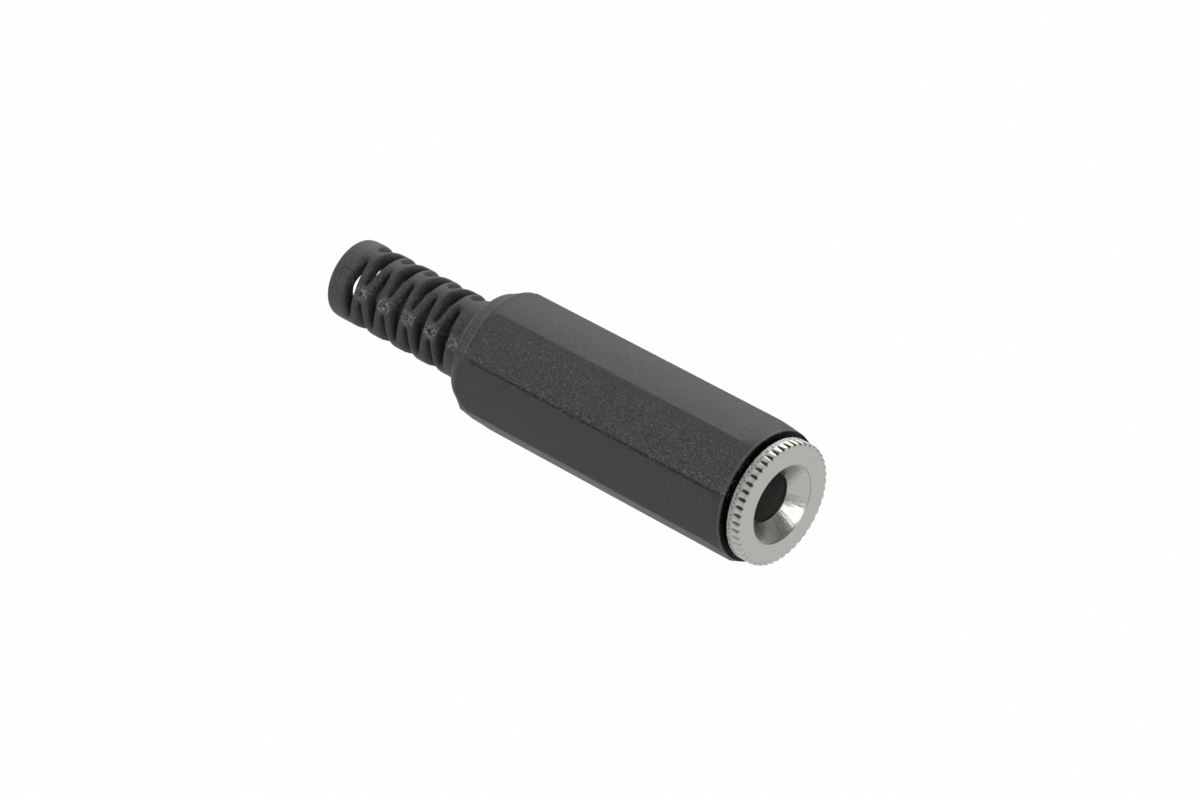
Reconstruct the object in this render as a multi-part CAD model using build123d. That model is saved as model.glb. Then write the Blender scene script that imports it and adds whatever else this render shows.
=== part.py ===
from build123d import *
import os
from math import cos, radians, sin, tan

os.makedirs("parts", exist_ok=True)

# In-line 3.5 mm audio jack socket, in millimetres.
# An eight-sided plastic handle runs into a slotted bend relief, one moulding. A turned bushing with a
# knurled flange screws into its front and carries the moulded contact carrier, the leaf contacts, the
# earth contact with its cable clamp, and a loose insulating sleeve over them.
# Depths are measured back from the flange's front face along the plug's axis, which lies on X with
# the mouth towards +X. The finished part lies on the handle's lowest flat: X and Y are centred on
# its box and Z is 0 at the lowest point.

# Overall lengths
total_length = 40.2
housing_end = 25.9
shoulder_length = 1.25

# Bushing
flange_r = 4.63
flange_t = 1.1
flange_edge = 0.07
lip_r = 1.8
lip_depth = 1.165
lip_land = 0.25
barrel_r = 4.1
barrel_end = 7.1
barrel_chamfer = 0.35
thread_relief_r = 3.65
thread_relief_length = 0.6
spigot_wall = 0.3
knurl_count = 48
knurl_depth = 0.17
knurl_width = 0.4
knurl_length = 0.6

# Housing, eight-sided, with a slight draft
front_flats = 9.9
rear_flats = 9.6
edge_round = 0.25
seat_r = 4.35
seat_step = 0.3
front_rim = 0.1
front_cone = 20.0
corner_bow = 0.3
corner_bow_length = 1.0
shoulder_r = 4.27
thread_clearance = 0.05
thread_zone_end = 8.2
cavity_r = 3.7
cavity_end = 24.3
cavity_cone = 2.0

# Bend relief
relief_front_r = 3.05
relief_rear_r = 2.95
relief_round = 0.2
relief_bore_r = 2.2
collar_bore_r = 2.0
collar_length = 1.5
slot_first = 2.68
slot_pitch = 1.065
slot_rings = 9
slots_per_ring = 3
slot_width = 0.8
slot_tip = 0.14
slot_sweep = 96.0
slot_straight = 30.0
parting_angle = 157.5

# Contact carrier
carrier_r = 2.6
guide_end = 4.3
relieved_r = 2.2
carrier_body_r = 2.85
carrier_flat = 2.6
carrier_collar = 0.7
carrier_blind_end = 15.2
rear_flange_r = 3.2
rear_flange_t = 1.2
window_clearance = 0.2

# Leaf contacts
leaf_t = 0.3
leaf_width = 1.4
leaf_bend = 0.35
contact_reach = 1.55
ring_touch = 9.1
tip_touch = 11.8
leaf_rise = 1.6
leaf_lead = 0.6
lug_length = 3.8
solder_hole_r = 0.4
sleeve_leaf_t = 0.2
sleeve_leaf_width = 1.0
sleeve_leaf_front = 4.6
sleeve_leaf_rear = 6.9
sleeve_leaf_gap = 0.08

# Earth contact and cable clamp
earth_t = 0.35
earth_ring_width = 0.4
strap_width = 1.6
clamp_start = 20.6
clamp_length = 2.8
clamp_inner_r = 2.1
clamp_wing = 1.7
clamp_run = 1.4

# Insulating sleeve
sleeve_wall = 0.2
sleeve_clearance = 0.1
sleeve_end = 20.0

overcut = 1.0

# Worked out from the sizes above
front_face_r = front_flats / 2 - front_rim
relief_start = housing_end + shoulder_length
spigot_r = carrier_r + spigot_wall
spigot_end = barrel_end + earth_t
earth_ring_r = spigot_r + earth_ring_width
strap_inner = carrier_body_r
rear_flange_end = carrier_blind_end + rear_flange_t
leaf_line = carrier_flat + leaf_t / 2
knurl_step = 360 / knurl_count
slot_turn = 180 / slots_per_ring
clamp_line = clamp_inner_r + earth_t / 2


def turned(*outline):
    """Revolve a closed outline of (depth, radius) points about the plug's axis."""
    points = [(-depth, radius) for depth, radius in outline]
    return revolve(make_face(Polyline(*points, close=True)), Axis.X)


def drum(start, end, radius):
    """A round bar on the axis between two depths."""
    return turned((start, 0), (start, radius), (end, radius), (end, 0))


def across(depth):
    """The plane across the axis at a depth, facing forwards, with Y to its right."""
    return Plane(origin=(-depth, 0, 0), x_dir=(0, 1, 0), z_dir=(1, 0, 0))


def octagon(depth, flats):
    """An octagon across the axis that has a flat underneath."""
    return across(depth) * RegularPolygon(flats / 2, 8, major_radius=False, rotation=22.5)


def block(start, end, y_low, y_high, z_low, z_high):
    """A rectangular block between two depths."""
    size = (end - start, y_high - y_low, z_high - z_low)
    middle = (-(start + end) / 2, (y_low + y_high) / 2, (z_low + z_high) / 2)
    return Pos(*middle) * Box(*size)


def housing_form():
    """The eight-sided handle with its tapered shoulder, its front cone and its rounded edges."""
    prism = loft([octagon(flange_t, front_flats), octagon(housing_end, rear_flats)])
    long_edges = [edge for edge in prism.edges() if edge.length > housing_end - 2 * flange_t]
    prism = fillet(long_edges, edge_round)
    shoulder = loft([octagon(housing_end, rear_flats), octagon(relief_start, 2 * shoulder_r)])
    rear_corner = rear_flats / 2 / cos(radians(22.5))
    front_corner = front_flats / 2 / cos(radians(22.5))
    ring_edge = flange_t + seat_step
    cone_depth = ring_edge + (front_corner - front_face_r) / tan(radians(front_cone))
    limit = turned(
        (relief_start, 0),
        (flange_t, 0),
        (flange_t, seat_r),
        (ring_edge, seat_r),
        (ring_edge, front_face_r),
        (cone_depth, front_corner),
        (housing_end - corner_bow_length, rear_corner),
        (housing_end, rear_corner - corner_bow),
        (relief_start, shoulder_r),
    )
    return (prism + shoulder) & limit


def slot_cutter(depth, angle):
    """A slot through the relief's wall, widest in its middle, with every side in a plane from the axis."""
    lean = radians(angle)
    outwards = (0, cos(lean), sin(lean))

    def lens(distance):
        scale = distance / relief_front_r
        tip = scale * slot_tip / 2
        side = scale * slot_width / 2
        reach = distance * tan(radians(slot_sweep / 2))
        straight = distance * tan(radians(slot_straight / 2))
        right = [(tip, -reach), (side, -straight), (side, straight), (tip, reach)]
        left = [(-across_slot, along_slot) for across_slot, along_slot in reversed(right)]
        centre = (-depth, distance * outwards[1], distance * outwards[2])
        plane = Plane(origin=centre, x_dir=(1, 0, 0), z_dir=outwards)
        return [plane.from_local_coords((*corner, 0)) for corner in right + left]

    inner = lens(collar_bore_r / 2)
    outer = lens(relief_front_r + overcut)
    walls = [Face(Wire.make_polygon(inner)), Face(Wire.make_polygon(outer))]
    for corner in range(len(inner)):
        wall = [inner[corner - 1], inner[corner], outer[corner], outer[corner - 1]]
        walls.append(Face(Wire.make_polygon(wall)))
    return Solid(Shell(walls))


def bend_relief():
    """The round tube behind the shoulder, its slots turned by half a step from ring to ring."""
    tube = turned(
        (housing_end, 0),
        (housing_end, relief_front_r),
        (relief_start, relief_front_r),
        (total_length - relief_round, relief_rear_r),
        (total_length, relief_rear_r - relief_round),
        (total_length, 0),
    )
    cutters = []
    for ring in range(slot_rings):
        depth = relief_start + slot_first + ring * slot_pitch
        for copy in range(slots_per_ring):
            angle = parting_angle + ring * slot_turn + copy * 2 * slot_turn
            cutters.append(slot_cutter(depth, angle))
    return tube - cutters


def handle():
    """Housing and bend relief as one moulding, bored for the bushing, the contacts and the cable."""
    bore_r = barrel_r + thread_clearance
    hollow = turned(
        (0, 0),
        (0, bore_r),
        (thread_zone_end, bore_r),
        (thread_zone_end, cavity_r),
        (cavity_end, cavity_r),
        (cavity_end + cavity_cone, relief_bore_r),
        (total_length - collar_length, relief_bore_r),
        (total_length - collar_length + relief_bore_r - collar_bore_r, collar_bore_r),
        (total_length + overcut, collar_bore_r),
        (total_length + overcut, 0),
    )
    return housing_form() + bend_relief() - hollow


def front_bushing():
    """Turned bushing: knurled flange, countersink, threaded barrel and the spigot at its rear."""
    sink_mouth_r = lip_r + lip_depth
    relief_end = flange_t + thread_relief_length
    body = turned(
        (0, sink_mouth_r),
        (0, flange_r),
        (flange_t - flange_edge, flange_r),
        (flange_t, flange_r - flange_edge),
        (flange_t, thread_relief_r),
        (relief_end, thread_relief_r),
        (relief_end + barrel_r - thread_relief_r, barrel_r),
        (barrel_end - barrel_chamfer, barrel_r),
        (barrel_end, barrel_r - barrel_chamfer),
        (barrel_end, spigot_r),
        (spigot_end, spigot_r),
        (spigot_end, carrier_r),
        (lip_depth + lip_land, carrier_r),
        (lip_depth + lip_land, lip_r),
        (lip_depth, lip_r),
    )
    notches = []
    for tooth in range(knurl_count):
        with BuildSketch(across(knurl_length)) as outline:
            with BuildLine():
                Polyline(
                    (flange_r - knurl_depth, 0),
                    (flange_r + knurl_depth, knurl_width),
                    (flange_r + knurl_depth, -knurl_width),
                    close=True,
                )
            make_face()
        notches.append(Rot(knurl_step * (tooth + 0.5), 0, 0) * extrude(outline.sketch, knurl_length + overcut))
    return body - notches


def contact_carrier():
    """Moulded liner of the plug's bore, with a window for each leaf and a flange that holds them."""
    body = turned(
        (lip_depth + lip_land, lip_r),
        (lip_depth + lip_land, carrier_r),
        (spigot_end, carrier_r),
        (spigot_end, carrier_body_r),
        (carrier_blind_end, carrier_body_r),
        (carrier_blind_end, rear_flange_r),
        (rear_flange_end, rear_flange_r),
        (rear_flange_end, 0),
        (carrier_blind_end, 0),
        (carrier_blind_end, relieved_r),
        (guide_end, relieved_r),
        (guide_end, lip_r),
    )
    half = leaf_width / 2
    flat_start = spigot_end + carrier_collar
    wide = half + window_clearance
    outside = rear_flange_r + overcut
    strap_half = strap_width / 2
    tip_front = tip_touch - leaf_lead - window_clearance
    tip_rear = tip_touch + leaf_rise + window_clearance
    ring_front = ring_touch - leaf_lead - window_clearance
    ring_rear = ring_touch + leaf_rise + window_clearance
    cuts = [
        block(flat_start, carrier_blind_end, carrier_flat, outside, -outside, outside),
        block(flat_start, carrier_blind_end, -outside, -carrier_flat, -outside, outside),
        block(spigot_end, rear_flange_end, -strap_half, strap_half, -outside, -strap_inner),
        block(carrier_blind_end, rear_flange_end, carrier_flat, carrier_flat + leaf_t, -half, half),
        block(carrier_blind_end, rear_flange_end, -carrier_flat - leaf_t, -carrier_flat, -half, half),
        block(tip_front, tip_rear, 0, outside, -wide, wide),
        block(ring_front, ring_rear, -outside, 0, -wide, wide),
        block(
            sleeve_leaf_front - sleeve_leaf_gap,
            sleeve_leaf_rear + sleeve_leaf_gap,
            -sleeve_leaf_width / 2 - sleeve_leaf_gap,
            sleeve_leaf_width / 2 + sleeve_leaf_gap,
            0,
            outside,
        ),
    ]
    return body - cuts


def strip(plane, path, thickness, width):
    """Sheet metal bent along a path that is drawn on a plane, as wide on both sides of it."""
    outline = trace(path, thickness)
    return extrude(plane * outline, width / 2, both=True)


def leaf_contact(touch, side):
    """Leaf that rests on the carrier's flat, bows in to the plug and ends in a solder lug."""
    lug_end = rear_flange_end + lug_length
    touch_line = contact_reach + leaf_t / 2
    lead_line = touch_line + leaf_lead
    path = FilletPolyline(
        (-lug_end, side * leaf_line),
        (-touch - leaf_rise, side * leaf_line),
        (-touch, side * touch_line),
        (-touch + leaf_lead, side * lead_line),
        radius=leaf_bend,
    )
    leaf = strip(Plane.XY, path, leaf_t, leaf_width)
    hole_depth = lug_end - leaf_width / 2
    hole = Pos(-hole_depth, side * leaf_line, 0) * Rot(90, 0, 0) * Cylinder(solder_hole_r, 3 * leaf_t)
    corners = leaf.edges().filter_by(Axis.Y).group_by(Axis.X)[0]
    return fillet(corners, leaf_width / 2 - solder_hole_r / 2) - hole


def sleeve_contact():
    """Bowed leaf trapped between the carrier's slot and the bushing, touching the plug's sleeve."""
    end_line = carrier_r - 1.5 * sleeve_leaf_gap - sleeve_leaf_t / 2
    bow_line = contact_reach + sleeve_leaf_t / 2
    middle = (sleeve_leaf_front + sleeve_leaf_rear) / 2
    path = ThreePointArc((-sleeve_leaf_rear, end_line), (-middle, bow_line), (-sleeve_leaf_front, end_line))
    return strip(Plane.XZ, path, sleeve_leaf_t, sleeve_leaf_width)


def earth_contact():
    """Ring behind the barrel, a strap along the carrier, and the clamp cradle with its two wings."""
    ring = turned(
        (barrel_end, spigot_r),
        (barrel_end, earth_ring_r),
        (spigot_end, earth_ring_r),
        (spigot_end, spigot_r),
    )
    strap_line = strap_inner + earth_t / 2
    path = FilletPolyline(
        (-barrel_end, -strap_line),
        (-clamp_start + clamp_run, -strap_line),
        (-clamp_start, -clamp_line),
        (-clamp_start - clamp_length / 2, -clamp_line),
        radius=earth_t,
    )
    strap = strip(Plane.XZ, path, earth_t, strap_width)
    spigot_room = drum(barrel_end - overcut, spigot_end, spigot_r)
    with BuildSketch(across(clamp_start + clamp_length)) as cradle:
        with BuildLine() as section:
            arc = CenterArc((0, 0), clamp_line, 180, 180)
            Line(arc @ 0, arc @ 0 + Vector(0, clamp_wing))
            Line(arc @ 1, arc @ 1 + Vector(0, clamp_wing))
        trace(section.line, earth_t)
    clamp = extrude(cradle.sketch, clamp_length)
    return ring + (strap - spigot_room) + clamp


def insulating_sleeve():
    """Loose tube over the carrier, the leaves and their lugs."""
    inner = earth_ring_r + sleeve_clearance
    outer = inner + sleeve_wall
    start = barrel_end + sleeve_clearance
    return turned((start, inner), (start, outer), (sleeve_end, outer), (sleeve_end, inner))


pieces = {
    "handle": handle(),
    "front_bushing": front_bushing(),
    "contact_carrier": contact_carrier(),
    "sleeve_contact": sleeve_contact(),
    "ring_contact": leaf_contact(ring_touch, -1),
    "tip_contact": leaf_contact(tip_touch, 1),
    "earth_contact": earth_contact(),
    "insulating_sleeve": insulating_sleeve(),
}

low = pieces["handle"].bounding_box().min
rest = Pos(total_length / 2, 0, -low.Z)
for name, piece in pieces.items():
    piece = rest * piece
    box = piece.bounding_box()
    print(name, len(piece.solids()), round(piece.volume, 2), [round(v, 2) for v in (*box.min, *box.max)])
    export_step(piece, f"parts/{name}.step")
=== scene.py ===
from math import atan2, cos, pi, radians, sin, sqrt, tan

import bmesh
import bpy
from mathutils import Matrix, Vector, noise


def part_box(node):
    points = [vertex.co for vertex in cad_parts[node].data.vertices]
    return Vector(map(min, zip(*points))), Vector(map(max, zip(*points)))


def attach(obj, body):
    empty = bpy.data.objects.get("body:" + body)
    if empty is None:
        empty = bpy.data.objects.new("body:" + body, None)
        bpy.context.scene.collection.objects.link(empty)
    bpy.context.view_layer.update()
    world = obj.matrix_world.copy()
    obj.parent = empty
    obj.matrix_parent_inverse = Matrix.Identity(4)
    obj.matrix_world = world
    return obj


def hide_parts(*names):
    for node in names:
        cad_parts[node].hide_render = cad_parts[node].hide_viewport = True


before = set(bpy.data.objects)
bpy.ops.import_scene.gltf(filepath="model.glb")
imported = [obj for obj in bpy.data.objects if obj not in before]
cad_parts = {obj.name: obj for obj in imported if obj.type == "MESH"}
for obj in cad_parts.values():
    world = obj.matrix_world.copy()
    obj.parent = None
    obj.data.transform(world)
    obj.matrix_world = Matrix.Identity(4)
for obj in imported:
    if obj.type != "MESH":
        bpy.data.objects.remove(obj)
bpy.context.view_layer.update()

# The in-line 3.5 mm jack socket. Depths are measured back from the flange's front face along the
# plug's axis, which runs along X with the mouth towards +X. Angles round the axis start at +Y and
# turn towards +Z. Sizes are in metres.
mm = 0.001
close = 0.1 * mm
front_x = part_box("front_bushing")[1].x
handle_low, handle_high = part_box("handle")
axis_z = (handle_low.z + handle_high.z) / 2
total_length = front_x - handle_low.x

# Handle
front_flats = 9.898 * mm
rear_flats = 9.6 * mm
flange_t = 1.1 * mm
housing_end = 25.9 * mm
relief_start = 27.15 * mm
shoulder_r = 4.27 * mm
seat_r = 4.35 * mm
seat_step = 0.3 * mm
front_face_r = 4.9 * mm
front_cone = radians(20)
corner_bow = 0.3 * mm
corner_bow_length = 1.0 * mm
edge_bevel = 0.11 * mm
crisp_bevel = 0.03 * mm
soft_bevel = 0.7 * mm
lower_fullness = 0.2 * mm
fullest_behind_end = 0.5 * mm
fullness_reach = 0.75 * mm
fullness_fade = radians(12)
witness_line_r = 0.035 * mm
witness_line_gap = 0.02
witness_line_steps = 128
thread_bore_r = 4.15 * mm
thread_zone_end = 8.2 * mm
cavity_r = 3.7 * mm
cavity_end = 24.3 * mm
cavity_cone = 2.0 * mm
wall_share = (0.38, 0.48)
cut_attempts = 8
parting_angle = radians(157.5)
lower_middle = parting_angle + pi / 2

# Bend relief
relief_r = 3.05 * mm
relief_rear_r = 2.95 * mm
relief_lead_in = 0.9 * mm
relief_wall = 1.06 * mm
collar_start = total_length - 1.5 * mm
collar_bore_r = 2.0 * mm
slot_first = 2.4 * mm
slot_pitch = 1.1 * mm
slot_rings = 9
slot_half = 0.4 * mm
slot_tip = 0.06 * mm
slot_taper = 1.15
slot_half_sweep = radians(53)
slot_straight = radians(5)
drawn_half_sweep = radians(45)
boss_half = 0.27 * mm
crater_r = 0.19 * mm
crater_depth = 0.24 * mm
crater_rim = 0.05 * mm
crater_share = [1.0, 0.75, 0.5, 0.9]
far_crater_share = 0.8
front_mark_share = 0.3
flash_reach = 0.7 * mm
flash_height = 0.06 * mm
columns = 36
column = 2 * pi / columns
ring_depths = [relief_start + slot_first + ring * slot_pitch for ring in range(slot_rings)]
plain_row, rim_row, end_row = -1, -2, -3
rim_rounding = {rim_row: 0.06 * mm, end_row: 0.22 * mm}

# Bushing
flange_r = 4.63 * mm
flange_edge = 0.06 * mm
lip_r = 1.8 * mm
lip_depth = 1.165 * mm
lip_land = 0.25 * mm
mouth_r = lip_r + lip_depth
turned_edge = 0.035 * mm
barrel_r = 4.1 * mm
barrel_end = 7.1 * mm
thread_root_r = 3.65 * mm
thread_relief = 0.6 * mm
thread_pitch = 0.75 * mm
thread_lead_in = 0.25 * mm
thread_run_out = 0.3 * mm
thread_steps = 64
tooth_sink = 0.03 * mm
tooth_half_foot = 0.33 * mm
tooth_half_crest = 0.06 * mm
carrier_r = 2.6 * mm
spigot_r = 2.9 * mm
spigot_end = 7.45 * mm
knurl_count = 48
knurl_depth = 0.17 * mm
knurl_length = 0.6 * mm
knurl_half = radians(2.2)
knurl_run_out = 0.8
facets_per_tooth = 8

# Light
table_glow = 0.985
room_light = 0.53
walls_fade = {"From Min": -0.5, "From Max": 0.6, "To Min": 1.0, "To Max": 0.25}
lamps = [
    ("back_softbox", (-0.2, 0.5, 0.45), 0.45, 2.25),
    ("front_softbox", (0.42, -0.17, 0.2), 0.26, 0.9),
]


def place(depth, radius, angle):
    """The point at a depth, a radius and an angle about the plug's axis."""
    return Vector((front_x - depth, radius * cos(angle), axis_z + radius * sin(angle)))


def polar(point):
    """The depth, radius and angle of a point."""
    y, z = point.y, point.z - axis_z
    return front_x - point.x, sqrt(y * y + z * z), atan2(z, y)


def turn_from(angle, centre):
    """How far an angle lies from another, between minus pi and pi."""
    return (angle - centre + pi) % (2 * pi) - pi


def hold(*pieces):
    """Leave edit mode, and select only these pieces, with the first one active."""
    if bpy.context.mode != "OBJECT":
        bpy.ops.object.mode_set(mode="OBJECT")
    bpy.ops.object.select_all(action="DESELECT")
    for piece in pieces:
        piece.select_set(True)
    bpy.context.view_layer.objects.active = pieces[0]


def edit(piece):
    """Go into edit mode on one piece with nothing selected."""
    hold(piece)
    bpy.ops.object.mode_set(mode="EDIT")
    bpy.ops.mesh.select_mode(type="VERT")
    bpy.ops.mesh.select_all(action="DESELECT")


def pick(piece, parts, wanted):
    """In edit mode, select only the verts, edges or faces whose place and normal are the wanted ones."""
    bpy.ops.mesh.select_mode(type={"verts": "VERT", "edges": "EDGE", "faces": "FACE"}[parts])
    bpy.ops.mesh.select_all(action="DESELECT")
    mesh = bmesh.from_edit_mesh(piece.data)
    mesh.normal_update()
    for part in getattr(mesh, parts):
        corners = [part] if parts == "verts" else part.verts
        middle = sum((corner.co for corner in corners), Vector()) / len(corners)
        normal = part.normal if parts != "edges" else (corners[1].co - corners[0].co).normalized()
        if wanted(middle, normal):
            part.select_set(True)
    mesh.select_flush_mode()
    bmesh.update_edit_mesh(piece.data)


def modify(piece, kind, **settings):
    """Apply one modifier to a piece."""
    hold(piece)
    modifier = piece.modifiers.new(kind.lower(), kind)
    for key, value in settings.items():
        setattr(modifier, key, value)
    bpy.ops.object.modifier_apply(modifier=modifier.name)


def combine(piece, tool, operation):
    """Cut, trim or join a piece with a tool, which is used up."""
    modify(piece, "BOOLEAN", operation=operation, object=tool, solver="EXACT")
    bpy.data.objects.remove(tool)


def tidy(piece, distance=1e-6):
    """Merge doubled points and turn all faces outwards."""
    edit(piece)
    bpy.ops.mesh.select_all(action="SELECT")
    bpy.ops.mesh.remove_doubles(threshold=distance)
    bpy.ops.mesh.normals_make_consistent(inside=False)
    hold(piece)


def named(name):
    """The piece that was just added, under its own name, with its place in its mesh."""
    piece = bpy.context.object
    piece.name = piece.data.name = name
    hold(piece)
    bpy.ops.object.transform_apply(location=True, rotation=True, scale=True)
    return piece


def outline_points(name, outline):
    """A chain of edges along (depth, radius) points, drawn above the axis by extruding a point."""
    bpy.ops.object.select_all(action="DESELECT")
    bpy.ops.mesh.primitive_plane_add(size=mm, location=place(*outline[0], pi / 2))
    piece = named(name)
    edit(piece)
    bpy.ops.mesh.select_all(action="SELECT")
    bpy.ops.mesh.merge(type="CENTER")
    for start, end in zip(outline, outline[1:]):
        step = place(*end, pi / 2) - place(*start, pi / 2)
        bpy.ops.mesh.extrude_region_move(TRANSFORM_OT_translate={"value": step})
    return piece


def lathe(name, outline, steps=96, sweep=2 * pi):
    """Spin a closed outline of (depth, radius) points about the plug's axis."""
    piece = outline_points(name, outline + outline[:1])
    bpy.ops.mesh.select_all(action="SELECT")
    bpy.ops.mesh.spin(steps=steps, angle=sweep, center=(0, 0, axis_z), axis=(1, 0, 0))
    tidy(piece)
    return piece


def housing():
    """The eight-sided shell, its long edges rounded, its shoulder crisp above the parting line."""
    corner = front_flats / 2 / cos(pi / 8)
    length = housing_end - flange_t
    bpy.ops.object.select_all(action="DESELECT")
    bpy.ops.mesh.primitive_cylinder_add(
        vertices=8,
        radius=corner,
        depth=length,
        location=(front_x - flange_t - length / 2, 0, axis_z),
        rotation=(0, pi / 2, 0),
    )
    shell = named("housing")
    edit(shell)
    bpy.ops.mesh.select_all(action="SELECT")
    spin = turn_from(polar(shell.data.vertices[0].co)[2], pi / 8)
    bpy.ops.transform.rotate(value=-spin, orient_axis="X", center_override=(0, 0, axis_z))
    pick(shell, "faces", lambda middle, normal: normal.x < -0.9)
    flats = rear_flats / front_flats
    bpy.ops.transform.resize(value=(1, flats, flats), center_override=(front_x - housing_end, 0, axis_z))
    bpy.ops.mesh.extrude_region_move(TRANSFORM_OT_translate={"value": (housing_end - relief_start, 0, 0)})
    taper = 2 * shoulder_r / rear_flats
    bpy.ops.transform.resize(value=(1, taper, taper), center_override=(front_x - relief_start, 0, axis_z))
    hold(shell)
    weights = shell.data.attributes.new("bevel_weight_edge", "FLOAT", "EDGE")
    for edge in shell.data.edges:
        first, second = (shell.data.vertices[index].co for index in edge.vertices)
        run = abs(first.x - second.x)
        depth, _, angle = polar((first + second) / 2)
        below = abs(turn_from(angle, lower_middle)) < pi / 2 - 0.1
        bevel = 0
        if run > length / 2:
            bevel = edge_bevel
        elif run > close:
            bevel = edge_bevel / 2
        elif abs(depth - housing_end) < close:
            bevel = soft_bevel if below else crisp_bevel
        weights.data[edge.index].value = bevel / soft_bevel
    modify(shell, "BEVEL", limit_method="WEIGHT", width=soft_bevel, segments=4, use_clamp_overlap=True)
    return shell


def housing_limit():
    """The round form that trims the shell: its seat, front ring, front cone and rear corners."""
    ring = flange_t + seat_step
    front_corner = front_flats / 2 / cos(pi / 8)
    rear_corner = rear_flats / 2 / cos(pi / 8)
    cone_end = ring + (front_corner - front_face_r) / tan(front_cone)
    outline = [
        (relief_start, 0),
        (flange_t, 0),
        (flange_t, seat_r),
        (ring, seat_r),
        (ring, front_face_r),
        (cone_end, front_corner),
        (housing_end - corner_bow_length, rear_corner + 0.02 * mm),
        (housing_end, rear_corner - corner_bow),
        (relief_start, shoulder_r),
    ]
    return lathe("housing_limit", outline)


def fill_lower_shoulder(shell):
    """The lower half of the mould has a fuller shoulder than the upper one."""
    edit(shell)
    mesh = bmesh.from_edit_mesh(shell.data)
    for vert in mesh.verts:
        depth, radius, angle = polar(vert.co)
        along = max(0, 1 - abs(depth - housing_end - fullest_behind_end) / fullness_reach)
        around = min(1, max(0, (pi / 2 - abs(turn_from(angle, lower_middle))) / fullness_fade))
        if radius > shoulder_r - close and depth < relief_start - close / 2:
            vert.co = place(depth, radius + lower_fullness * along * around, angle)
    bmesh.update_edit_mesh(shell.data)
    hold(shell)


def witness_line(depth, ring_r, flat):
    """A fine raised line round the upper half, along a ring that is flattened to the eight sides."""
    corners = [turn * pi / 4 for turn in range(8)]
    section = [(depth + witness_line_r * cos(a), ring_r + witness_line_r * sin(a)) for a in corners]
    line = outline_points("witness_line", section + section[:1])
    bpy.ops.mesh.select_all(action="SELECT")
    start = parting_angle - pi / 2 - witness_line_gap
    bpy.ops.transform.rotate(value=-start, orient_axis="X", center_override=(0, 0, axis_z))
    bpy.ops.mesh.remove_doubles(threshold=1e-7)
    bpy.ops.mesh.edge_face_add()
    sweep = pi - 2 * witness_line_gap
    bpy.ops.mesh.spin(steps=witness_line_steps, angle=sweep, center=(0, 0, axis_z), axis=(1, 0, 0))
    mesh = bmesh.from_edit_mesh(line.data)
    for vert in mesh.verts:
        vert_depth, radius, angle = polar(vert.co)
        side = turn_from(angle, round(angle / (pi / 4)) * pi / 4)
        vert.co = place(vert_depth, radius - ring_r + min(ring_r, flat / cos(side)), angle)
    bmesh.update_edit_mesh(line.data)
    tidy(line, 1e-7)
    return line


def housing_hollow():
    """The thread's bore and the cavity behind it."""
    relief_bore = relief_r - relief_wall
    outline = [
        (-mm, 0),
        (-mm, thread_bore_r),
        (thread_zone_end, thread_bore_r),
        (thread_zone_end, cavity_r),
        (cavity_end, cavity_r),
        (cavity_end + cavity_cone, relief_bore),
        (relief_start + mm, relief_bore),
        (relief_start + mm, 0),
    ]
    return lathe("housing_hollow", outline)


def volume(piece):
    """A closed piece's volume."""
    mesh = bmesh.new()
    mesh.from_mesh(piece.data)
    amount = mesh.calc_volume()
    mesh.free()
    return amount


def cut_housing():
    """The shell, trimmed and hollowed. A cut that now and then loses part of it is made again."""
    for attempt in range(cut_attempts):
        shell = housing()
        block = volume(shell)
        combine(shell, housing_limit(), "INTERSECT")
        combine(shell, housing_hollow(), "DIFFERENCE")
        if wall_share[0] < volume(shell) / block < wall_share[1]:
            return shell
        bpy.data.objects.remove(shell)
    raise RuntimeError("the housing's cuts failed")


def slot_reach(turn):
    """Half the slot's width at a turn away from its middle."""
    share = min(1, max(0, (abs(turn) - slot_straight) / (slot_half_sweep - slot_straight)))
    return slot_tip + (slot_half - slot_tip) * (1 - share) ** slot_taper


def bend_relief():
    """The slotted tube: rings extruded row by row, slots opened, then a wall and rounded ribs."""
    start_depth = relief_start - relief_lead_in
    lead_in = [start_depth, relief_start + 0.25 * mm, relief_start + 1.2 * mm]
    rows = [(depth, plain_row) for depth in lead_in]
    for ring, depth in enumerate(ring_depths):
        rows += [(depth - slot_half, ring), (depth + slot_half, ring)]
    rows += [(collar_start + 0.45 * mm, plain_row), (total_length - 0.35 * mm, plain_row)]
    rows += [(total_length - 0.12 * mm, rim_row), (total_length, end_row)]
    bpy.ops.object.select_all(action="DESELECT")
    bpy.ops.mesh.primitive_circle_add(
        vertices=columns,
        radius=relief_r,
        location=(front_x - start_depth, 0, axis_z),
        rotation=(0, pi / 2, 0),
    )
    tube = named("bend_relief")
    edit(tube)
    bpy.ops.mesh.select_all(action="SELECT")
    first = polar(tube.data.vertices[0].co)[2]
    slack = turn_from(first, parting_angle - column / 2) % column
    bpy.ops.transform.rotate(value=-slack, orient_axis="X", center_override=(0, 0, axis_z))
    for (depth, _), (next_depth, _) in zip(rows, rows[1:]):
        bpy.ops.mesh.extrude_region_move(TRANSFORM_OT_translate={"value": (depth - next_depth, 0, 0)})
    pick(tube, "faces", in_a_slot)
    bpy.ops.mesh.delete(type="FACE")
    shape_rows(tube, rows)
    tidy(tube)
    modify(
        tube,
        "SOLIDIFY",
        thickness=relief_wall,
        offset=-1,
        use_even_offset=True,
        use_rim=True,
        edge_crease_inner=1.0,
    )
    tidy(tube)
    narrow_collar(tube)
    divide_bosses(tube)
    modify(tube, "SUBSURF", levels=2, render_levels=2)
    finish_relief(tube)
    return tube


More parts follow.
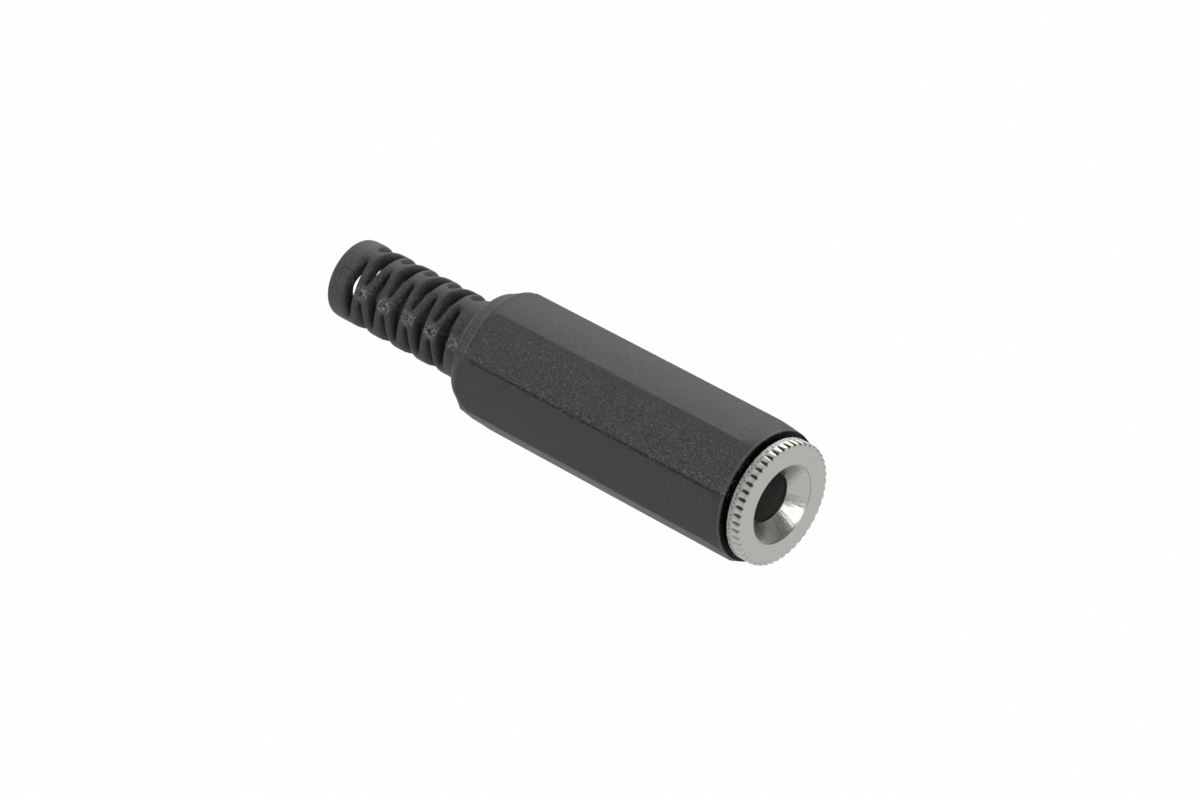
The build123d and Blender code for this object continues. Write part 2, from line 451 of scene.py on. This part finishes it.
def nearest_slot(ring, angle):
    """How far an angle is from the middle of the nearest slot of a ring."""
    turns = [turn_from(angle, parting_angle + ring * pi / 3 + copy * 2 * pi / 3) for copy in range(3)]
    return min(turns, key=abs)


def in_a_slot(middle, normal):
    """Whether a face of the plain tube lies where a slot is opened."""
    depth, _, angle = polar(middle)
    widest = drawn_half_sweep - 0.1 * column
    return any(
        abs(depth - slot_depth) < 0.2 * slot_pitch and abs(nearest_slot(ring, angle)) < widest
        for ring, slot_depth in enumerate(ring_depths)
    )


def shape_rows(tube, rows):
    """Move each row of the tube to its slot's outline, its taper and the collar's rounded rim."""
    edit(tube)
    mesh = bmesh.from_edit_mesh(tube.data)
    shrink = 3 / (2 + cos(column))
    for vert in mesh.verts:
        depth, _, angle = polar(vert.co)
        base, ring = min(rows, key=lambda entry: abs(entry[0] - depth))
        if ring >= 0:
            turn = nearest_slot(ring, angle)
            if abs(turn) < drawn_half_sweep + 0.1 * column:
                new_turn = turn * slot_half_sweep / drawn_half_sweep
                half = slot_reach(new_turn)
            else:
                bridge = pi / 3 - abs(turn)
                new_turn = pi / 3 - bridge * (pi / 3 - slot_half_sweep) / (pi / 3 - drawn_half_sweep)
                new_turn *= 1 if turn > 0 else -1
                half = boss_half
            angle += new_turn - turn
            side = 1 if base > ring_depths[ring] else -1
            base = ring_depths[ring] + half * side
        share = (base - relief_start) / (total_length - relief_start)
        radius = relief_r + (relief_rear_r - relief_r) * max(0, share)
        radius -= rim_rounding.get(ring, 0)
        vert.co = place(base, radius * shrink, angle)
    bmesh.update_edit_mesh(tube.data)


def narrow_collar(tube):
    """Close the bore a little inside the collar."""
    edit(tube)
    mesh = bmesh.from_edit_mesh(tube.data)
    for vert in mesh.verts:
        depth, radius, angle = polar(vert.co)
        if depth > collar_start + 0.3 * mm and radius < relief_rear_r - 0.5 * relief_wall:
            vert.co = place(depth, collar_bore_r, angle)
    bmesh.update_edit_mesh(tube.data)
    hold(tube)


def divide_bosses(tube):
    """Finer faces on each bridge that lies on the parting line, for its crater."""
    edit(tube)

    def is_boss(middle, normal):
        depth, radius, angle = polar(middle)
        if radius < relief_rear_r - 1.5 * close:
            return False
        on_line = min(abs(turn_from(angle, parting_angle)), abs(turn_from(angle, parting_angle + pi)))
        return on_line < column / 4 and any(abs(depth - ring) < close for ring in ring_depths)

    pick(tube, "faces", is_boss)
    bpy.ops.mesh.inset(thickness=0.07 * mm, depth=0, use_individual=True)
    hold(tube)


def finish_relief(tube):
    """Draw the rounded rim out to its full length, and press the craters and their flash."""
    edit(tube)
    mesh = bmesh.from_edit_mesh(tube.data)
    end = max(polar(vert.co)[0] for vert in mesh.verts)
    stretch = (total_length - collar_start) / (end - collar_start)
    marks = [(depth, parting_angle, share) for depth, share in zip(ring_depths[1::2], crater_share)]
    marks += [(depth, parting_angle + pi, far_crater_share) for depth in ring_depths[::2]]
    for step in range(3):
        mark_depth = relief_start + (0.3 + 0.45 * step) * mm
        marks.append((mark_depth, parting_angle - 0.05 + 0.06 * step, front_mark_share))
    for vert in mesh.verts:
        depth, radius, angle = polar(vert.co)
        if depth > collar_start:
            vert.co = place(collar_start + (depth - collar_start) * stretch, radius, angle)
        if radius < relief_rear_r - 0.3 * mm:
            continue
        for mark_depth, mark_angle, share in marks:
            away = Vector((depth - mark_depth, radius * turn_from(angle, mark_angle))).length
            if away < flash_reach:
                lump = noise.noise(vert.co / mm * 3.5) + 0.6 * noise.noise(vert.co / mm * 9)
                rise = flash_height * (1 - away / flash_reach) * (0.3 + 1.6 * lump)
                rise += share * crater_rim * max(0, 1 - abs(away - 1.5 * crater_r) / (0.7 * crater_r))
                rise -= share * crater_depth * max(0, 1 - (away / crater_r) ** 2)
                vert.co = place(depth, radius + rise, angle)
                break
    bmesh.update_edit_mesh(tube.data)
    hold(tube)


def handle():
    """Housing and bend relief, joined as the one moulding that they are."""
    shell = cut_housing()
    tidy(shell, 2e-6)
    fill_lower_shoulder(shell)
    modify(
        shell,
        "BEVEL",
        limit_method="ANGLE",
        angle_limit=radians(28),
        width=crisp_bevel,
        segments=2,
        use_clamp_overlap=True,
    )
    rear_corner = rear_flats / 2 / cos(pi / 8) - corner_bow
    lines = [
        witness_line(housing_end, rear_corner, rear_flats / 2),
        witness_line(relief_start - 0.03 * mm, shoulder_r, shoulder_r),
    ]
    relief = bend_relief()
    hold(shell, relief, *lines)
    bpy.ops.object.join()
    shell.name = shell.data.name = "handle_moulding"
    bpy.ops.object.shade_smooth_by_angle(angle=radians(25))
    return shell


def bushing_outline():
    """The bushing's closed outline, starting at the countersink's mouth."""
    relief_end = flange_t + thread_relief
    edge = turned_edge
    return [
        (edge, mouth_r),
        (0, mouth_r + edge),
        (0, flange_r - flange_edge - 0.12 * mm),
        (0, flange_r - flange_edge),
        (0.3 * flange_edge, flange_r - 0.3 * flange_edge),
        (flange_edge, flange_r),
        (knurl_length, flange_r),
        (knurl_length + 0.04 * mm, flange_r),
        (flange_t - flange_edge, flange_r),
        (flange_t, flange_r - flange_edge),
        (flange_t, thread_root_r),
        (relief_end, thread_root_r),
        (relief_end + edge, thread_root_r),
        (barrel_end - edge, thread_root_r),
        (barrel_end, thread_root_r - edge),
        (barrel_end, spigot_r),
        (spigot_end, spigot_r),
        (spigot_end, carrier_r),
        (lip_depth + lip_land, carrier_r),
        (lip_depth + lip_land, lip_r),
        (lip_depth + edge, lip_r),
        (lip_depth - edge, lip_r + edge),
    ]


def front_bushing():
    """One knurl tooth's share of the turning, notched, then repeated round the axis."""
    sweep = 2 * pi / knurl_count
    piece = lathe("bushing", bushing_outline(), steps=facets_per_tooth, sweep=sweep)
    edit(piece)
    mesh = bmesh.from_edit_mesh(piece.data)
    middle_angle = sum(polar(vert.co)[2] for vert in mesh.verts) / len(mesh.verts)
    for vert in mesh.verts:
        depth, radius, angle = polar(vert.co)
        turn = abs(turn_from(angle, middle_angle))
        if depth < knurl_length + 0.01 * mm and radius > flange_r - 1.5 * flange_edge:
            share = max(0, 1 - turn / knurl_half) * (1 - knurl_run_out * depth / knurl_length)
            vert.co = place(depth, radius - knurl_depth * share, angle)
    bmesh.update_edit_mesh(piece.data)
    bpy.ops.mesh.select_all(action="SELECT")
    bpy.ops.mesh.spin(
        steps=knurl_count - 1,
        dupli=True,
        angle=sweep * (knurl_count - 1),
        center=(0, 0, axis_z),
        axis=(1, 0, 0),
        use_auto_merge=False,
    )
    tidy(piece)
    thread = thread_ridge()
    hold(piece, thread)
    bpy.ops.object.join()
    piece.name = piece.data.name = "knurled_bushing"
    bpy.ops.object.shade_smooth_by_angle(angle=radians(30))
    return piece


def thread_ridge():
    """The barrel's thread: one tooth's section screwed along the barrel, a step at a time."""
    start = flange_t + thread_relief + thread_lead_in
    turns = int((barrel_end - thread_run_out - start) / thread_pitch)
    root = thread_root_r - tooth_sink
    tooth = [
        (start - tooth_half_foot, root),
        (start - tooth_half_crest, barrel_r),
        (start + tooth_half_crest, barrel_r),
        (start + tooth_half_foot, root),
    ]
    ridge = outline_points("thread", tooth + tooth[:1])
    step_length, step_turn = thread_pitch / thread_steps, 2 * pi / thread_steps
    bpy.ops.mesh.select_all(action="SELECT")
    bpy.ops.mesh.remove_doubles(threshold=1e-6)
    bpy.ops.mesh.edge_face_add()
    for step in range(turns * thread_steps):
        bpy.ops.mesh.extrude_region_move(TRANSFORM_OT_translate={"value": (-step_length, 0, 0)})
        bpy.ops.transform.rotate(value=-step_turn, orient_axis="X", center_override=(0, 0, axis_z))
    tidy(ridge)
    return ridge


class Field:
    """A node's output. Arithmetic on it adds Math nodes."""

    def __init__(self, nodes, socket):
        self.nodes = nodes
        self.socket = socket

    def __add__(self, other):
        return self.nodes.maths("ADD", self, other)

    def __sub__(self, other):
        return self.nodes.maths("SUBTRACT", self, other)

    def __mul__(self, other):
        return self.nodes.maths("MULTIPLY", self, other)

    def __rsub__(self, other):
        return self.nodes.maths("SUBTRACT", other, self)

    __radd__ = __add__
    __rmul__ = __mul__


class Nodes:
    """A node tree and the methods that add nodes to it."""

    def __init__(self, tree):
        self.tree = tree

    def feed(self, socket, value):
        """Link a field to a socket, or set the socket to a plain value."""
        if isinstance(value, Field):
            self.tree.links.new(value.socket, socket)
        else:
            socket.default_value = value

    def node(self, kind, settings=None, inputs=None, output=0):
        """Add any node, with its settings and its sockets' values or links, and give one output."""
        made = self.tree.nodes.new(kind)
        for key, value in (settings or {}).items():
            setattr(made, key, value)
        for key, value in (inputs or {}).items():
            self.feed(made.inputs[key], value)
        return Field(self, made.outputs[output])

    def maths(self, operation, *values):
        return self.node("ShaderNodeMath", {"operation": operation}, dict(enumerate(values)))

    def ray(self, kind):
        """1 for the rays of one kind, such as the camera's."""
        return self.node("ShaderNodeLightPath", output=f"Is {kind} Ray")

    def mixed(self, share, first, second):
        """A shader part way between two."""
        return self.node("ShaderNodeMixShader", {}, {0: share, 1: first, 2: second})


class Finish(Nodes):
    """One material: its Principled shader, and the place on the piece in millimetres."""

    def __init__(self, name, colour, roughness, metallic=0.0):
        self.material = bpy.data.materials.new(name)
        self.material.use_nodes = True
        super().__init__(self.material.node_tree)
        self.shader = self.tree.nodes["Principled BSDF"]
        self.set("Base Color", (*colour, 1))
        self.set("Roughness", roughness)
        self.set("Metallic", metallic)
        spot = self.node("ShaderNodeTexCoord", output="Object")
        to_axis = {"Vector": spot, "Scale": (1 / mm,) * 3, "Location": (0, 0, -axis_z / mm)}
        self.place = self.node("ShaderNodeMapping", {}, to_axis)
        axes = [self.node("ShaderNodeSeparateXYZ", {}, {0: self.place}, axis) for axis in range(3)]
        self.depth = front_x / mm - axes[0]
        self.radius = self.maths("SQRT", axes[1] * axes[1] + axes[2] * axes[2])
        self.angle = self.maths("ARCTAN2", axes[2], axes[1])

    def noise(self, scale, detail=2.0, roughness=0.5, vector=None):
        inputs = {"Vector": vector or self.place, "Scale": scale, "Detail": detail, "Roughness": roughness}
        return self.node("ShaderNodeTexNoise", {}, inputs, "Fac")

    def stretched(self, x, y, z):
        """The place with each axis scaled, for a pattern drawn out along one of them."""
        return self.node("ShaderNodeMapping", {}, {"Vector": self.place, "Scale": (x, y, z)})

    def ramp(self, value, low, high):
        """0 at low, 1 at high, and a smooth step between them."""
        settings = {"clamp": True, "interpolation_type": "SMOOTHSTEP"}
        return self.node("ShaderNodeMapRange", settings, {"Value": value, 1: low, 2: high, 3: 0.0, 4: 1.0})

    def near(self, value, middle, reach):
        """1 at a middle value, falling to 0 at a reach from it."""
        return 1 - self.ramp(self.maths("ABSOLUTE", value - middle), 0.0, reach)

    def blend(self, share, first, second):
        """A colour part way between two."""
        settings = {"data_type": "RGBA"}
        colours = {6: first, 7: second}
        for key, colour in colours.items():
            if not isinstance(colour, Field):
                colours[key] = (*colour, 1)
        return self.node("ShaderNodeMix", settings, {0: share, **colours}, 2)

    def relief(self, height, distance):
        """Turn a height between 0 and 1 into bumps, as deep as a distance in metres."""
        inputs = {"Height": height, "Strength": 1.0, "Distance": distance}
        bump = self.node("ShaderNodeBump", {}, inputs, "Normal")
        self.set("Normal", bump)

    def set(self, socket, value):
        self.feed(self.shader.inputs[socket], value)


def moulded_plastic():
    """Black moulding: eroded grain and pale specks on the upper half, flash on the parting line."""
    finish = Finish("handle_plastic", (0.035, 0.036, 0.039), 0.5)
    seam = finish.angle - parting_angle
    other_seam = finish.angle - (parting_angle - pi)
    upper = finish.ramp(0 - seam, -0.02, 0.02) * finish.ramp(other_seam, -0.02, 0.02)
    edge_strip = finish.near(seam, -0.07, 0.13) * upper
    shoulder = relief_start / mm
    ring = (flange_t + seat_step) / mm
    pitch = slot_pitch / mm
    body = finish.ramp(finish.depth, shoulder + 0.05, shoulder - 0.05)
    grain = finish.noise(5.0, 4.0, 0.62)
    fine = finish.noise(17.0, 2.0, 0.5)
    cloud = finish.noise(0.7, 2.0, 0.5)
    blotches = finish.noise(2.4, 3.0, 0.6)
    second = finish.ramp(seam, -0.8, -0.6) * upper
    busy = 0.3 + upper * 0.3 + second * 0.3 + edge_strip * 0.5
    specks = finish.ramp(finish.noise(9.0, 1.0, 0.5), 0.66 - second * 0.08, 0.75)
    specks = specks * (0.75 + second * 0.25 + edge_strip * 0.4)
    pitted = finish.ramp(grain, 0.5, 0.38) * (second * 0.5 + edge_strip * 0.5)
    # Painted shadow: the handle's front ring behind the flange is coloured near-black and made metallic,
    # standing in for the shade of a gap behind the flange.
    front = finish.ramp(finish.depth, ring + 0.1, ring + 0.02)
    # Painted highlight: a lighter line along the handle's front rim.
    painted_rim_highlight = finish.near(finish.depth, ring + 0.2, 0.12)
    dark = finish.ramp(blotches, 0.55, 0.75) * (upper * 0.25 + edge_strip * 0.6)
    base = finish.blend(cloud, (0.027, 0.0275, 0.029), (0.035, 0.0355, 0.0375))
    base = finish.blend(finish.ramp(grain, 0.42, 0.68) * busy * 0.75, base, (0.075, 0.076, 0.08))
    collar = finish.ramp(finish.depth, collar_start / mm, collar_start / mm + 0.3)
    base = finish.blend(collar * 0.3, base, (0.08, 0.08, 0.084))
    torn = finish.near(seam, -0.012, 0.035) * body * finish.ramp(grain, 0.36, 0.5)
    base = finish.blend(dark, base, (0.012, 0.012, 0.013))
    base = finish.blend(body * (1 - upper) * 0.8, base, (0.022, 0.0225, 0.024))
    base = finish.blend(pitted * 0.9, base, (0.01, 0.01, 0.011))
    base = finish.blend(torn * 0.9, base, (0.004, 0.004, 0.004))
    # Painted highlight along the front rim.
    base = finish.blend(painted_rim_highlight * 0.7, base, (0.09, 0.09, 0.094))
    # Painted shadow of the gap behind the flange on the front ring.
    base = finish.blend(front, base, (0.003, 0.003, 0.003))
    colour = finish.blend(specks * 0.7, base, (0.2, 0.205, 0.215))
    first_boss, last_ring = ring_depths[0] / mm, ring_depths[-1] / mm
    along = finish.maths("PINGPONG", finish.depth - first_boss, pitch)
    at_boss = finish.ramp(along, pitch - 0.8, pitch - 0.3)
    at_boss = at_boss * finish.ramp(finish.depth, last_ring + 0.6, last_ring + 0.3)
    ragged = finish.ramp(finish.noise(4.2, 4.0, 0.85), 0.48, 0.58)
    flash = finish.near(seam, 0.0, 0.24) * (1 - body) * ragged
    outside = finish.ramp(finish.radius, relief_rear_r / mm - 0.1, relief_rear_r / mm)
    flash = flash * (0.1 + at_boss * 0.9) * outside
    colour = finish.blend(flash, colour, (0.36, 0.36, 0.36))
    # Painted highlight: the fine lines at the housing's end and at the shoulder, on the upper half, are
    # coloured lighter as if they caught the light.
    at_end = finish.near(finish.depth, housing_end / mm + 0.02, 0.1)
    at_shoulder = finish.near(finish.depth, shoulder - 0.03, 0.1)
    lines = (at_end + at_shoulder) * upper * finish.ramp(finish.radius, 4.15, 4.2)
    colour = finish.blend(lines * (0.2 + grain), colour, (0.2, 0.2, 0.205))
    finish.set("Base Color", colour)
    finish.set("Roughness", 0.5 + grain * 0.16)
    # The front ring's metallic share keeps its painted shadow dark in reflections too.
    finish.set("Metallic", front * 0.95 + torn * 0.5)
    height = grain * (0.35 + upper * 0.5 + second * 0.6 + edge_strip * 0.8) + fine * (0.25 + upper * 0.3)
    finish.relief(height, 0.04 * mm)
    return finish.material


def nickel_plate():
    """Satin nickel over turned brass: fine tool marks, a rough rim, and painted shade in the knurl notches
    that fades towards the bottom.
    """
    finish = Finish("nickel_plate", (0.5, 0.485, 0.46), 0.3, metallic=1.0)
    cloud = finish.noise(1.6, 3.0, 0.6)
    pits = finish.noise(22.0, 2.0, 0.6)
    rings = finish.node("ShaderNodeCombineXYZ", {}, {0: finish.radius * 14.0, 1: finish.depth * 14.0})
    turning = finish.noise(1.0, 2.0, 0.6, rings)
    around = finish.node("ShaderNodeCombineXYZ", {}, {0: finish.angle * 9.0, 1: finish.radius * 0.8})
    chatter = finish.noise(1.0, 3.0, 0.7, around)
    mouth, lip, rim_r, knurl = mouth_r / mm, lip_depth / mm, flange_r / mm, knurl_length / mm
    in_sink = finish.ramp(finish.radius, mouth - 0.015, mouth - 0.065)
    in_sink = in_sink * finish.ramp(finish.depth, lip + 0.085, lip - 0.015)
    rim = finish.ramp(finish.radius, rim_r - 0.28, rim_r - 0.13)
    rim = rim * finish.ramp(finish.depth, knurl - 0.05, knurl + 0.15)
    speckle = finish.noise(8.0, 3.0, 0.7)
    # Painted shade: the knurl notches are coloured dark, less metallic and rougher, standing in for dark
    # reflections and shade in them; weaker towards the lower side.
    painted_notch_shade = finish.ramp(finish.radius, rim_r - 0.28, rim_r - 0.23)
    painted_notch_shade = painted_notch_shade * finish.ramp(finish.radius, rim_r - 0.01, rim_r - 0.05)
    painted_notch_shade = painted_notch_shade * finish.ramp(finish.depth, 0.02, 0.05)
    painted_notch_shade = painted_notch_shade * finish.ramp(finish.depth, knurl + 0.06, knurl - 0.02)
    height = finish.radius * finish.maths("SINE", finish.angle)
    painted_notch_shade = painted_notch_shade * (0.1 + finish.ramp(height, -2.0, 1.8) * 0.9)
    # Painted shade: a thin darker ring on the face at the countersink's mouth edge.
    painted_mouth_edge_shade = finish.near(finish.radius, mouth + 0.02, 0.05)
    painted_mouth_edge_shade = painted_mouth_edge_shade * finish.ramp(finish.depth, 0.12, 0.08)
    base = finish.blend(cloud, (0.41, 0.4, 0.375), (0.48, 0.47, 0.445))
    # Painted shade in the knurl notches.
    base = finish.blend(painted_notch_shade * 0.95, base, (0.02, 0.018, 0.015))
    base = finish.blend(painted_mouth_edge_shade * 0.6, base, (0.1, 0.098, 0.09))
    base = finish.blend(finish.ramp(speckle, 0.48, 0.6) * rim * 0.9, base, (0.1, 0.096, 0.088))
    base = finish.blend(finish.ramp(chatter, 0.5, 0.7) * in_sink * 0.5, base, (0.2, 0.195, 0.185))
    finish.set("Base Color", base)
    finish.set("Metallic", 1 - painted_notch_shade * 0.6)
    finish.set("Roughness", 0.26 + cloud * 0.1 + pits * 0.06 + rim * 0.14 - in_sink * 0.07 + painted_notch_shade * 0.3)
    marks = pits * 0.3 + turning * 0.25 + speckle * rim * 5.0 + chatter * in_sink * 2.0
    finish.relief(marks, 0.01 * mm)
    return finish.material


def carrier_plastic():
    """Smooth black moulding with a faint flow pattern."""
    finish = Finish("carrier_plastic", (0.02, 0.02, 0.021), 0.35)
    flow = finish.noise(1.2, 3.0, 0.5)
    finish.set("Base Color", finish.blend(flow, (0.055, 0.053, 0.051), (0.068, 0.066, 0.064)))
    finish.set("Roughness", 0.3 + flow * 0.15)
    finish.relief(finish.noise(12.0, 2.0, 0.5), 0.006 * mm)
    return finish.material


def contact_metal():
    """Tin-plated spring brass, with rolling marks along it and a warm tone where the tin is thin."""
    finish = Finish("contact_metal", (0.7, 0.67, 0.6), 0.3, metallic=1.0)
    rolled = finish.noise(3.0, 3.0, 0.6, finish.stretched(0.3, 6.0, 6.0))
    thin = finish.ramp(finish.noise(0.9, 2.0, 0.5), 0.5, 0.75)
    finish.set("Base Color", finish.blend(thin, (0.7, 0.68, 0.63), (0.74, 0.62, 0.4)))
    finish.set("Roughness", 0.22 + rolled * 0.2)
    finish.relief(rolled, 0.006 * mm)
    return finish.material


def sleeve_film():
    """Milky plastic tube with extrusion lines."""
    finish = Finish("sleeve_film", (0.72, 0.71, 0.66), 0.4)
    lines = finish.noise(2.5, 3.0, 0.6, finish.stretched(0.15, 3.0, 3.0))
    finish.set("Base Color", finish.blend(lines, (0.66, 0.65, 0.6), (0.78, 0.77, 0.72)))
    finish.set("Roughness", 0.32 + lines * 0.16)
    finish.relief(lines, 0.01 * mm)
    return finish.material


def paint(piece, material):
    """Give a piece, or a node's every slot, one material."""
    if not piece.data.materials:
        piece.data.materials.append(material)
    for slot in piece.material_slots:
        slot.material = material


def table():
    """The white table, which glows to the camera and in reflections and keeps the shadow."""
    bpy.ops.object.select_all(action="DESELECT")
    bpy.ops.mesh.primitive_plane_add(size=3.0, location=(0, 0, 0))
    plane = named("table")
    cover = Finish("table_white", (0.55, 0.55, 0.55), 0.8)
    cloud = cover.noise(0.01, 1.0, 0.5)
    cover.set("Base Color", cover.blend(cloud, (0.54, 0.54, 0.54), (0.56, 0.56, 0.56)))
    seen = cover.maths("MAXIMUM", cover.ray("Camera"), cover.ray("Glossy"))
    seen = cover.maths("MAXIMUM", seen, cover.ray("Transmission"))
    glow = cover.node("ShaderNodeEmission", {}, {"Color": (1, 1, 1, 1)})
    surface = cover.mixed(seen * table_glow, Field(cover, cover.shader.outputs[0]), glow)
    cover.feed(cover.tree.nodes["Material Output"].inputs["Surface"], surface)
    paint(plane, cover.material)


def room():
    """A white room: even light, walls that fade from rear to front in reflections, white behind."""
    world = bpy.data.worlds.new("studio")
    bpy.context.scene.world = world
    world.use_nodes = True
    air = Nodes(world.node_tree)
    even = air.tree.nodes["Background"]
    air.feed(even.inputs["Color"], (1, 1, 1, 1))
    air.feed(even.inputs["Strength"], room_light)
    direction = air.node("ShaderNodeTexCoord", output="Generated")
    forward = air.node("ShaderNodeSeparateXYZ", {}, {0: direction})
    fade = air.node("ShaderNodeMapRange", {}, {"Value": forward, **walls_fade})
    walls = air.node("ShaderNodeBackground", {}, {"Color": fade})
    white = air.node("ShaderNodeBackground")
    lit = air.mixed(air.ray("Glossy"), Field(air, even.outputs[0]), walls)
    surface = air.mixed(air.ray("Camera"), lit, white)
    air.feed(air.tree.nodes["World Output"].inputs["Surface"], surface)


def lights():
    """The soft overhead light behind the piece and the weak one in front, both aimed at it."""
    for name, spot, size, power in lamps:
        lamp = bpy.data.lights.new(name, "AREA")
        lamp.shape = "SQUARE"
        lamp.size = size
        lamp.energy = power
        holder = bpy.data.objects.new(name, lamp)
        holder.location = spot
        holder.rotation_mode = "QUATERNION"
        holder.rotation_quaternion = (Vector((0, 0, axis_z)) - Vector(spot)).to_track_quat("-Z", "Y")
        bpy.context.scene.collection.objects.link(holder)


def camera():
    """The photograph's view: nearly parallel, from in front, to the right and above."""
    azimuth, elevation, roll = radians(39.736), radians(31.916), radians(4.285)
    distance = 1.2
    pixels_per_metre = 14378
    image_width = 1200
    target = Vector((3.069 * mm, 0, 5.553 * mm))
    back = Vector((sin(azimuth) * cos(elevation), -cos(azimuth) * cos(elevation), sin(elevation)))
    right = Vector((cos(azimuth), sin(azimuth), 0))
    up = back.cross(right)
    level = Matrix((right, up, back)).transposed()
    tilt = Matrix.Rotation(roll, 3, "Z")
    lens = bpy.data.cameras.new("camera")
    lens.sensor_width = 36
    lens.lens = lens.sensor_width * pixels_per_metre * distance / image_width
    lens.clip_start, lens.clip_end = 0.01, 10
    holder = bpy.data.objects.new("camera", lens)
    holder.matrix_world = Matrix.Translation(target + distance * back) @ (level @ tilt).to_4x4()
    bpy.context.scene.collection.objects.link(holder)
    bpy.context.scene.camera = holder


# Pieces
moulding = handle()
paint(moulding, moulded_plastic())
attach(moulding, "housing")
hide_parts("handle")

bushing = front_bushing()
paint(bushing, nickel_plate())
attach(bushing, "insert")
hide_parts("front_bushing")

metal = contact_metal()
for node in ("sleeve_contact", "ring_contact", "tip_contact", "earth_contact"):
    paint(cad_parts[node], metal)
paint(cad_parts["contact_carrier"], carrier_plastic())
paint(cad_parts["insulating_sleeve"], sleeve_film())

table()
room()
lights()
camera()
bpy.context.scene.view_settings.view_transform = "Standard"
